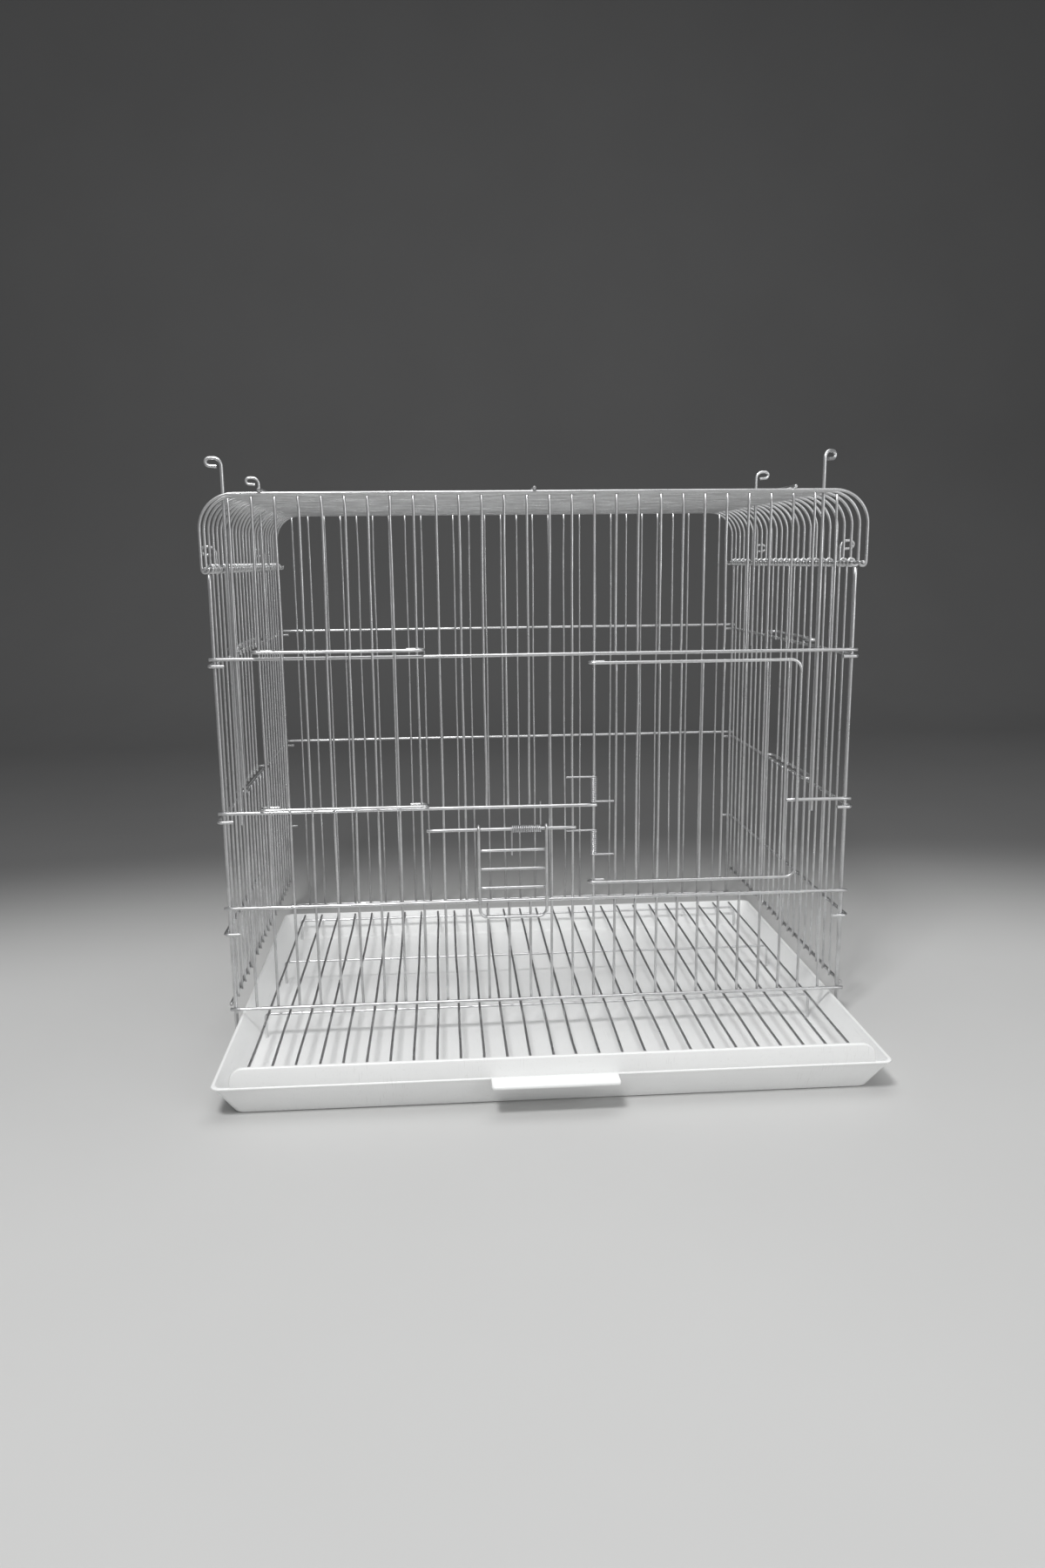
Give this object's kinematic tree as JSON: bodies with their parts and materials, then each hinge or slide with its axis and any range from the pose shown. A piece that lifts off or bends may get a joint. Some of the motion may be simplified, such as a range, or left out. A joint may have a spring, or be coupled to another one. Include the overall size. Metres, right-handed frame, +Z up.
{
  "type": "wire rabbit cage",
  "caption": "Folding wire cage for a small animal: swing-out door, lifting doors, ladder flap, swing-up sides, lock rods, and a white tray with a floor grid that slides out in front",
  "frame": {"origin": "on the ground at the centre of the cage's footprint, on the underside of the tray", "axes": "+X to the user's right, +Y from the front to the back, +Z up"},
  "size_m": [0.6128, 0.6382, 0.5431],
  "materials": {
    "zinc_wire": "electroplated zinc, satin bright",
    "spring_steel": "drawn spring wire",
    "tray_plastic": "white moulded plastic, satin"
  },
  "bodies": {
    "cage_frame": {"roof_wires": "zinc_wire", "roof_shoulder_bends": "zinc_wire", "roof_side_drops": "zinc_wire", "roof_wire_curls": "zinc_wire", "hood_side_wires": "zinc_wire", "roof_stringers": "zinc_wire", "front_uprights": "zinc_wire", "front_posts": "zinc_wire", "front_bar_top": "zinc_wire", "front_bar_upper": "zinc_wire", "front_bar_lower": "zinc_wire", "front_bar_bottom": "zinc_wire", "door_stop_bar": "zinc_wire", "flap_header": "zinc_wire", "back_uprights": "zinc_wire", "back_posts": "zinc_wire", "back_bars": "zinc_wire", "back_foot_bar": "zinc_wire", "door_spring_upper": "spring_steel", "door_spring_lower": "spring_steel", "flap_spring": "spring_steel"},
    "right_panel": {"right_panel_uprights": "zinc_wire", "right_panel_hinge_eyes": "zinc_wire", "right_panel_pull_eyes": "zinc_wire", "right_panel_hooked_bars": "zinc_wire", "right_panel_bottom_bar": "zinc_wire"},
    "left_panel": {"left_panel_uprights": "zinc_wire", "left_panel_hinge_eyes": "zinc_wire", "left_panel_pull_eyes": "zinc_wire", "left_panel_hooked_bars": "zinc_wire", "left_panel_bottom_bar": "zinc_wire"},
    "front_slide_door": {"front_slide_door_top_wire": "zinc_wire", "front_slide_door_bottom_wire": "zinc_wire", "front_slide_door_slats": "zinc_wire"},
    "right_slide_door": {"right_slide_door_top_wire": "zinc_wire", "right_slide_door_bottom_wire": "zinc_wire", "right_slide_door_slats": "zinc_wire"},
    "left_slide_door": {"left_slide_door_top_wire": "zinc_wire", "left_slide_door_bottom_wire": "zinc_wire", "left_slide_door_slats": "zinc_wire"},
    "main_door": {"main_door_frame": "zinc_wire", "main_door_slats": "zinc_wire"},
    "ladder_flap": {"flap_frame": "zinc_wire", "flap_rungs": "zinc_wire"},
    "front_left_rod": {"lock_rod_front_left": "zinc_wire"},
    "front_right_rod": {"lock_rod_front_right": "zinc_wire"},
    "side_left_rod": {"lock_rod_side_left": "zinc_wire"},
    "side_right_rod": {"lock_rod_side_right": "zinc_wire"},
    "tray": {"tray": "tray_plastic"},
    "floor_grid": {"floor_grid_wires": "zinc_wire", "floor_grid_cross_wires": "zinc_wire"}
  },
  "joints": [
    {"name": "main_door_hinge", "type": "hinge", "parent": "cage_frame", "child": "main_door", "pos_m": [0.05, -0.22, 0.253], "axis": [0, 0, -1], "range_deg": [0, 105], "stiffness_Nm_per_rad": 0.05, "springref_deg": -20.05},
    {"name": "ladder_flap_hinge", "type": "hinge", "parent": "cage_frame", "child": "ladder_flap", "pos_m": [-0.0265, -0.22285, 0.203], "axis": [-1, 0, 0], "range_deg": [0, 100], "stiffness_Nm_per_rad": 0.02, "springref_deg": -28.65},
    {"name": "front_slide_door_lift", "type": "slide", "parent": "cage_frame", "child": "front_slide_door", "axis": [0, 0, 1], "range_m": [0, 0.126]},
    {"name": "right_panel_swing", "type": "hinge", "parent": "cage_frame", "child": "right_panel", "pos_m": [0.289, 0, 0.443], "axis": [0, -1, 0], "range_deg": [0, 90]},
    {"name": "left_panel_swing", "type": "hinge", "parent": "cage_frame", "child": "left_panel", "pos_m": [-0.289, 0, 0.443], "axis": [0, 1, 0], "range_deg": [0, 90]},
    {"name": "right_slide_door_lift", "type": "slide", "parent": "right_panel", "child": "right_slide_door", "axis": [0, 0, 1], "range_m": [0, 0.07]},
    {"name": "left_slide_door_lift", "type": "slide", "parent": "left_panel", "child": "left_slide_door", "axis": [0, 0, 1], "range_m": [0, 0.07]},
    {"name": "tray_pull", "type": "slide", "parent": "cage_frame", "child": "tray", "axis": [0, -1, 0], "range_m": [-0.122, 0.34]},
    {"name": "floor_grid_lift", "type": "slide", "parent": "tray", "child": "floor_grid", "axis": [0, 0, 1], "range_m": [0, 0.0035]},
    {"name": "front_left_rod_lift", "type": "slide", "parent": "cage_frame", "child": "front_left_rod", "axis": [0, 0, 1], "range_m": [0, 0.29]},
    {"name": "front_right_rod_lift", "type": "slide", "parent": "cage_frame", "child": "front_right_rod", "axis": [0, 0, 1], "range_m": [0, 0.29]},
    {"name": "side_left_rod_lift", "type": "slide", "parent": "cage_frame", "child": "side_left_rod", "axis": [0, 0, 1], "range_m": [0, 0.15]},
    {"name": "side_right_rod_lift", "type": "slide", "parent": "cage_frame", "child": "side_right_rod", "axis": [0, 0, 1], "range_m": [0, 0.15]}
  ]
}
